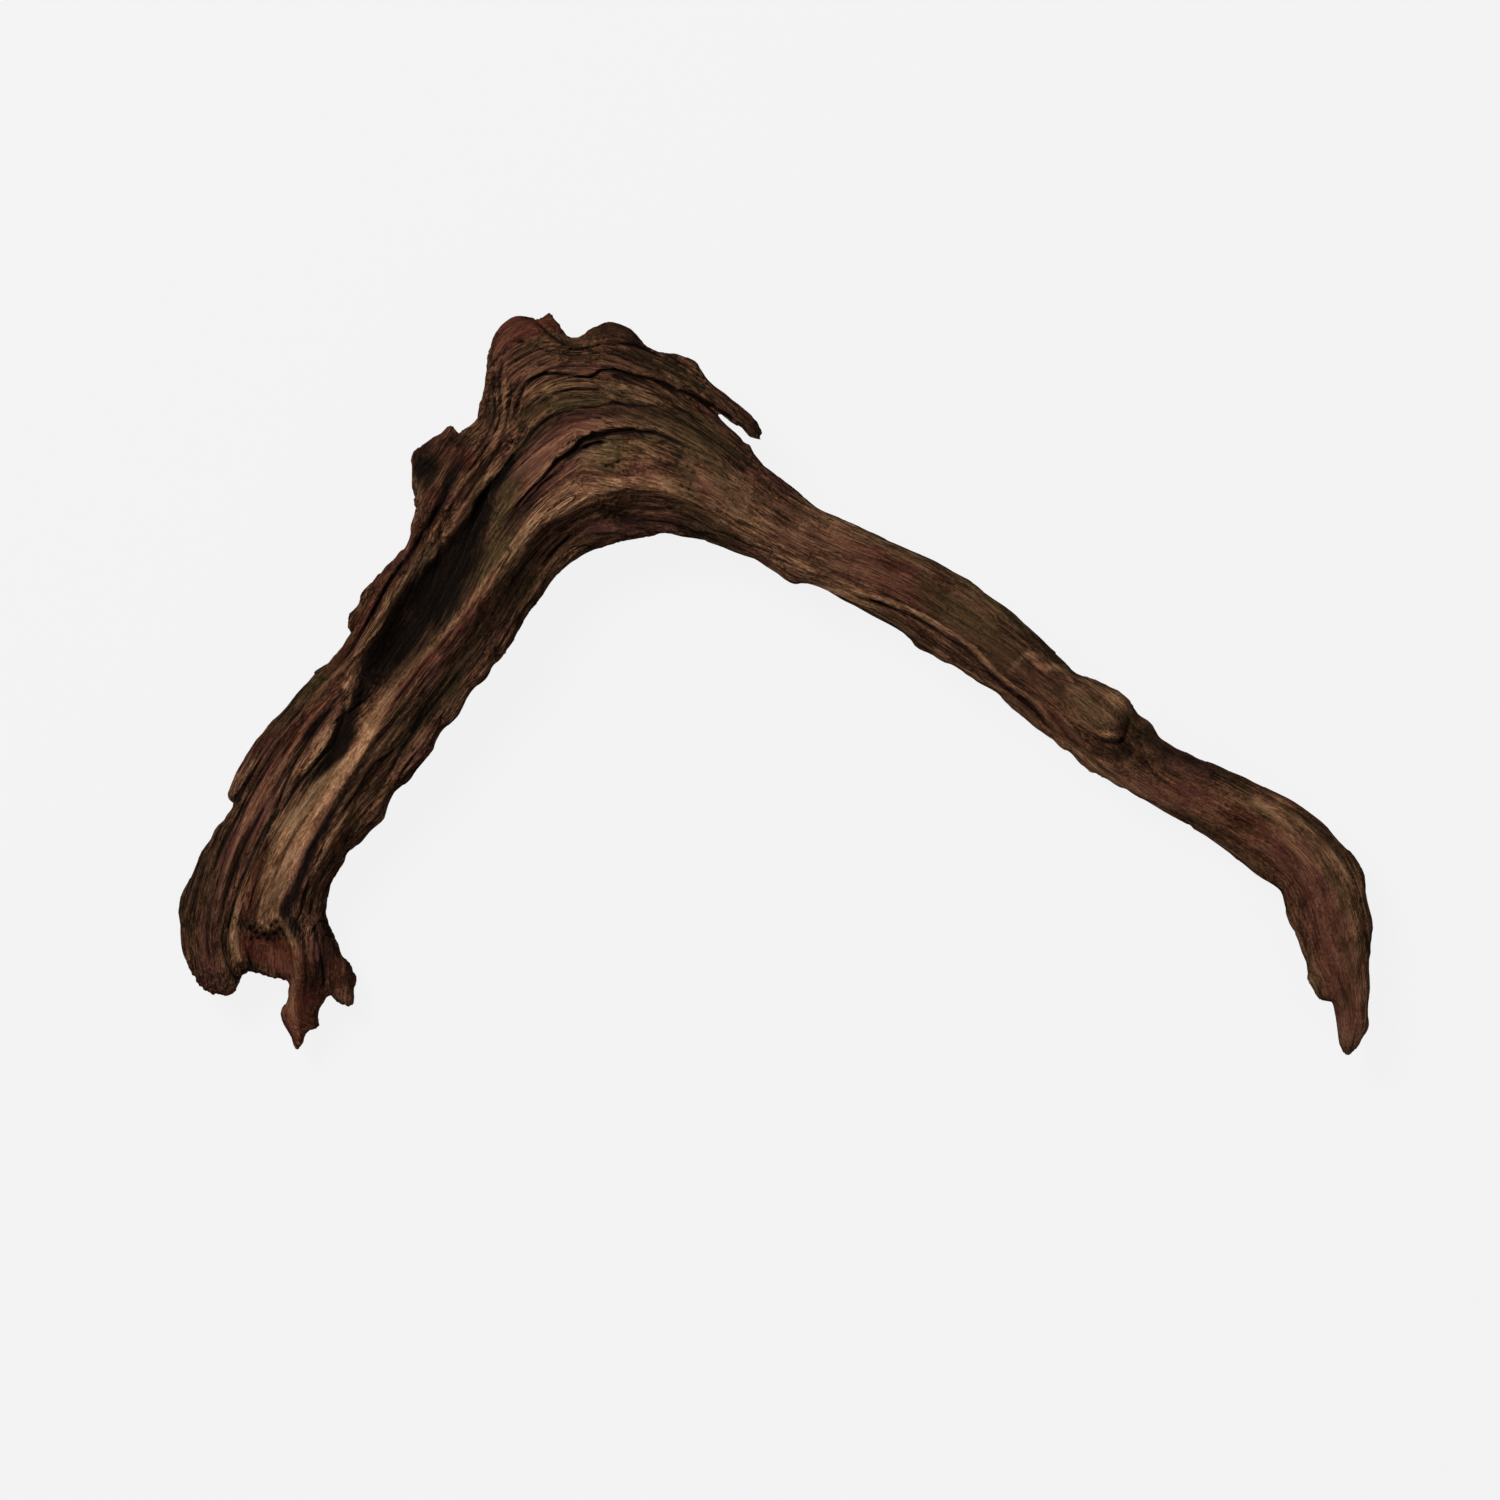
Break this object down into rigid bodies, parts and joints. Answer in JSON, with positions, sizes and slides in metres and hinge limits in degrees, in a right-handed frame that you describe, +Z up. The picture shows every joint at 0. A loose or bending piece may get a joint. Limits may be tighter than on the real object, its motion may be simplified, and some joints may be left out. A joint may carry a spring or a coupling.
{
  "type": "driftwood branch",
  "caption": "Weathered branch of driftwood bent like an arch: furrowed wide limb with a broken foot, split crown, and a long tapering limb. It lies on its side on a surface.",
  "frame": {"origin": "on the surface that the branch lies on, under the middle of its plan", "axes": "+Z up, away from that surface; +X along the longest extent, from the broken foot of the wide limb towards the tip of the slim limb; +Y from the ends of the limbs towards the crown of the bend"},
  "size_m": [0.4778, 0.2966, 0.0526],
  "materials": {
    "weathered_wood": "matte"
  },
  "bodies": {
    "root": {"driftwood": "weathered_wood"}
  },
  "joints": []
}
